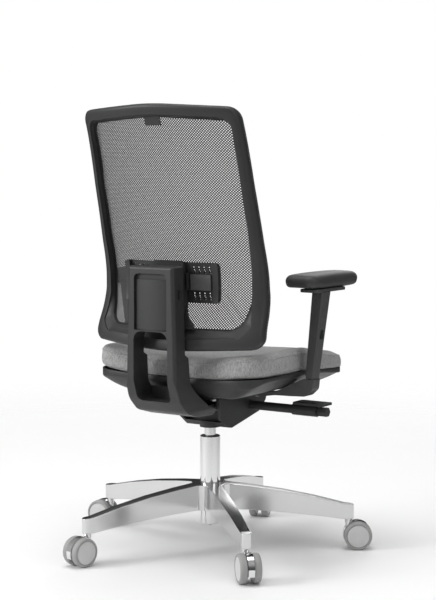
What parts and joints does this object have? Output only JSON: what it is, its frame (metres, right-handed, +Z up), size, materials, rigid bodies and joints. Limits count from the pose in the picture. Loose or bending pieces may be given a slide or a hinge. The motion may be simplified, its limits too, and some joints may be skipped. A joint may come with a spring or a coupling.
{
  "type": "office chair",
  "caption": "Height-adjustable swivel chair with a curved mesh back on a rear carrier, a dished upholstered seat, sliding armrests and twin-wheel casters on a star base.",
  "frame": {"origin": "point on the floor below the axis of the column", "axes": "+Z up along the column, -Y the way the sitter faces, +X the sitter's left"},
  "size_m": [0.7637, 0.776, 1.1034],
  "materials": {
    "base_aluminium": "satin",
    "chrome": "polished",
    "steel": "satin",
    "wheel_grey": "matte",
    "bush_plastic": "matte",
    "mechanism_black": "matte",
    "shell_black": "fine grain",
    "lumbar_grey": "matte",
    "button_black": "matte",
    "seat_fabric": "woven",
    "back_mesh": "open weave",
    "arm_plastic": "fine grain",
    "pad_soft": "soft touch"
  },
  "bodies": {
    "base": {"star_base": "base_aluminium", "caster_stems": "chrome", "column_tube": "chrome", "column_bush": "bush_plastic", "thrust_bearing": "steel"},
    "column_rod": {"piston_rod": "steel"},
    "mechanism": {"gas_cylinder": "chrome", "mechanism_housing": "mechanism_black", "tilt_pin": "steel", "limit_pin": "steel", "spring_rod": "steel", "tilt_spring": "steel", "lever_tube": "mechanism_black"},
    "tension_control": {"tension_knob": "mechanism_black"},
    "height_control": {"height_lever": "mechanism_black"},
    "lock_control": {"lock_lever": "mechanism_black"},
    "seat": {"seat_carrier": "mechanism_black", "seat_screws": "steel", "seat_pan": "shell_black", "seat_cushion": "seat_fabric", "arm_bracket_left": "arm_plastic", "arm_bracket_right": "arm_plastic", "arm_screws": "steel"},
    "back_carrier": {"back_spine": "shell_black", "spine_cover": "shell_black"},
    "back_button": {"back_height_button": "button_black"},
    "back": {"back_frame": "shell_black", "back_tongue": "shell_black", "mesh_panel": "back_mesh", "top_clip": "shell_black"},
    "lumbar": {"lumbar_plate": "shell_black", "lumbar_bar": "lumbar_grey"},
    "arm_left": {"arm_sleeve_left": "arm_plastic", "arm_plate_left": "arm_plastic"},
    "arm_release_left": {"arm_button_left": "button_black"},
    "arm_top_left": {"arm_pad_left": "pad_soft"},
    "arm_right": {"arm_sleeve_right": "arm_plastic", "arm_plate_right": "arm_plastic"},
    "arm_release_right": {"arm_button_right": "button_black"},
    "arm_top_right": {"arm_pad_right": "pad_soft"},
    "caster_1": {"caster_hood_1": "chrome", "caster_axle_1": "steel"},
    "wheel_left_1": {"caster_wheel_left_1": "wheel_grey"},
    "wheel_right_1": {"caster_wheel_right_1": "wheel_grey"},
    "caster_2": {"caster_hood_2": "chrome", "caster_axle_2": "steel"},
    "wheel_left_2": {"caster_wheel_left_2": "wheel_grey"},
    "wheel_right_2": {"caster_wheel_right_2": "wheel_grey"},
    "caster_3": {"caster_hood_3": "chrome", "caster_axle_3": "steel"},
    "wheel_left_3": {"caster_wheel_left_3": "wheel_grey"},
    "wheel_right_3": {"caster_wheel_right_3": "wheel_grey"},
    "caster_4": {"caster_hood_4": "chrome", "caster_axle_4": "steel"},
    "wheel_left_4": {"caster_wheel_left_4": "wheel_grey"},
    "wheel_right_4": {"caster_wheel_right_4": "wheel_grey"},
    "caster_5": {"caster_hood_5": "chrome", "caster_axle_5": "steel"},
    "wheel_left_5": {"caster_wheel_left_5": "wheel_grey"},
    "wheel_right_5": {"caster_wheel_right_5": "wheel_grey"}
  },
  "joints": [
    {"name": "swivel", "type": "hinge", "parent": "base", "child": "column_rod", "pos_m": [0, 0, 0.06], "axis": [0, 0, 1], "continuous": true},
    {"name": "seat_height", "type": "slide", "parent": "column_rod", "child": "mechanism", "axis": [0, 0, 1], "range_m": [-0.01, 0.1]},
    {"name": "back_tilt", "type": "hinge", "parent": "mechanism", "child": "back_carrier", "pos_m": [0, 0.036, 0.36], "axis": [-1, 0, 0], "range_deg": [0, 20], "stiffness_Nm_per_rad": 60, "springref_deg": -34.38},
    {"name": "seat_tilt", "type": "hinge", "parent": "mechanism", "child": "seat", "pos_m": [0, 0.036, 0.36], "axis": [-1, 0, 0], "range_deg": [0, 7]},
    {"name": "back_height", "type": "slide", "parent": "back_carrier", "child": "back", "axis": [0, 0, 1], "range_m": [0, 0.06]},
    {"name": "back_button_press", "type": "slide", "parent": "back_carrier", "child": "back_button", "axis": [1, 0, 0], "range_m": [0, 0.0025], "stiffness_N_per_m": 1200, "springref_m": -0.003},
    {"name": "lumbar_height", "type": "slide", "parent": "back", "child": "lumbar", "axis": [0, 0, 1], "range_m": [-0.015, 0.015]},
    {"name": "arm_height_left", "type": "slide", "parent": "seat", "child": "arm_left", "axis": [0.1147, 0, 0.9934], "range_m": [0, 0.09]},
    {"name": "arm_release_press_left", "type": "slide", "parent": "arm_left", "child": "arm_release_left", "axis": [-1, 0, 0], "range_m": [0, 0.0015], "stiffness_N_per_m": 1200, "springref_m": -0.003},
    {"name": "arm_depth_left", "type": "slide", "parent": "arm_left", "child": "arm_top_left", "axis": [0, 1, 0], "range_m": [-0.03, 0.03]},
    {"name": "arm_height_right", "type": "slide", "parent": "seat", "child": "arm_right", "axis": [-0.1147, 0, 0.9934], "range_m": [0, 0.09]},
    {"name": "arm_release_press_right", "type": "slide", "parent": "arm_right", "child": "arm_release_right", "axis": [1, 0, 0], "range_m": [0, 0.0015], "stiffness_N_per_m": 1200, "springref_m": -0.003},
    {"name": "arm_depth_right", "type": "slide", "parent": "arm_right", "child": "arm_top_right", "axis": [0, 1, 0], "range_m": [-0.03, 0.03]},
    {"name": "height_lever_lift", "type": "hinge", "parent": "mechanism", "child": "height_control", "pos_m": [0, -0.091, 0.352], "axis": [-1, 0, 0], "range_deg": [0, 15], "stiffness_Nm_per_rad": 1.5, "springref_deg": -22.92},
    {"name": "tension_turn", "type": "hinge", "parent": "mechanism", "child": "tension_control", "pos_m": [0, -0.091, 0.352], "axis": [-1, 0, 0], "range_deg": [0, 720]},
    {"name": "lock_lever_turn", "type": "hinge", "parent": "mechanism", "child": "lock_control", "pos_m": [0, -0.091, 0.352], "axis": [1, 0, 0], "range_deg": [0, 25]},
    {"name": "caster_swivel_1", "type": "hinge", "parent": "base", "child": "caster_1", "pos_m": [0.14199, 0.3152, 0.0766], "axis": [0, 0, 1], "continuous": true},
    {"name": "wheel_spin_left_1", "type": "hinge", "parent": "caster_1", "child": "wheel_left_1", "pos_m": [0.14677, 0.33769, 0.035], "axis": [-0.9781, 0.2079, 0], "continuous": true},
    {"name": "wheel_spin_right_1", "type": "hinge", "parent": "caster_1", "child": "wheel_right_1", "pos_m": [0.14677, 0.33769, 0.035], "axis": [-0.9781, 0.2079, 0], "continuous": true},
    {"name": "caster_swivel_2", "type": "hinge", "parent": "base", "child": "caster_2", "pos_m": [-0.25589, 0.23244, 0.0766], "axis": [0, 0, 1], "continuous": true},
    {"name": "wheel_spin_left_2", "type": "hinge", "parent": "caster_2", "child": "wheel_left_2", "pos_m": [-0.27244, 0.24841, 0.035], "axis": [-0.6947, -0.7193, 0], "continuous": true},
    {"name": "wheel_spin_right_2", "type": "hinge", "parent": "caster_2", "child": "wheel_right_2", "pos_m": [-0.27244, 0.24841, 0.035], "axis": [-0.6947, -0.7193, 0], "continuous": true},
    {"name": "caster_swivel_3", "type": "hinge", "parent": "base", "child": "caster_3", "pos_m": [-0.30014, -0.17154, 0.0766], "axis": [0, 0, 1], "continuous": true},
    {"name": "wheel_spin_left_3", "type": "hinge", "parent": "caster_3", "child": "wheel_left_3", "pos_m": [-0.3192, -0.1844, 0.035], "axis": [0.5592, -0.829, 0], "continuous": true},
    {"name": "wheel_spin_right_3", "type": "hinge", "parent": "caster_3", "child": "wheel_right_3", "pos_m": [-0.3192, -0.1844, 0.035], "axis": [0.5592, -0.829, 0], "continuous": true},
    {"name": "caster_swivel_4", "type": "hinge", "parent": "base", "child": "caster_4", "pos_m": [0.0704, -0.33846, 0.0766], "axis": [0, 0, 1], "continuous": true},
    {"name": "wheel_spin_left_4", "type": "hinge", "parent": "caster_4", "child": "wheel_left_4", "pos_m": [0.07902, -0.35978, 0.035], "axis": [0.9272, 0.3746, 0], "continuous": true},
    {"name": "wheel_spin_right_4", "type": "hinge", "parent": "caster_4", "child": "wheel_right_4", "pos_m": [0.07902, -0.35978, 0.035], "axis": [0.9272, 0.3746, 0], "continuous": true},
    {"name": "caster_swivel_5", "type": "hinge", "parent": "base", "child": "caster_5", "pos_m": [0.34364, -0.03764, 0.0766], "axis": [0, 0, 1], "continuous": true},
    {"name": "wheel_spin_left_5", "type": "hinge", "parent": "caster_5", "child": "wheel_left_5", "pos_m": [0.36656, -0.03563, 0.035], "axis": [-0.0872, 0.9962, 0], "continuous": true},
    {"name": "wheel_spin_right_5", "type": "hinge", "parent": "caster_5", "child": "wheel_right_5", "pos_m": [0.36656, -0.03563, 0.035], "axis": [-0.0872, 0.9962, 0], "continuous": true}
  ],
  "couplings": [
    {"joint": "seat_tilt", "follows": "back_tilt", "ratio": 0.35}
  ]
}
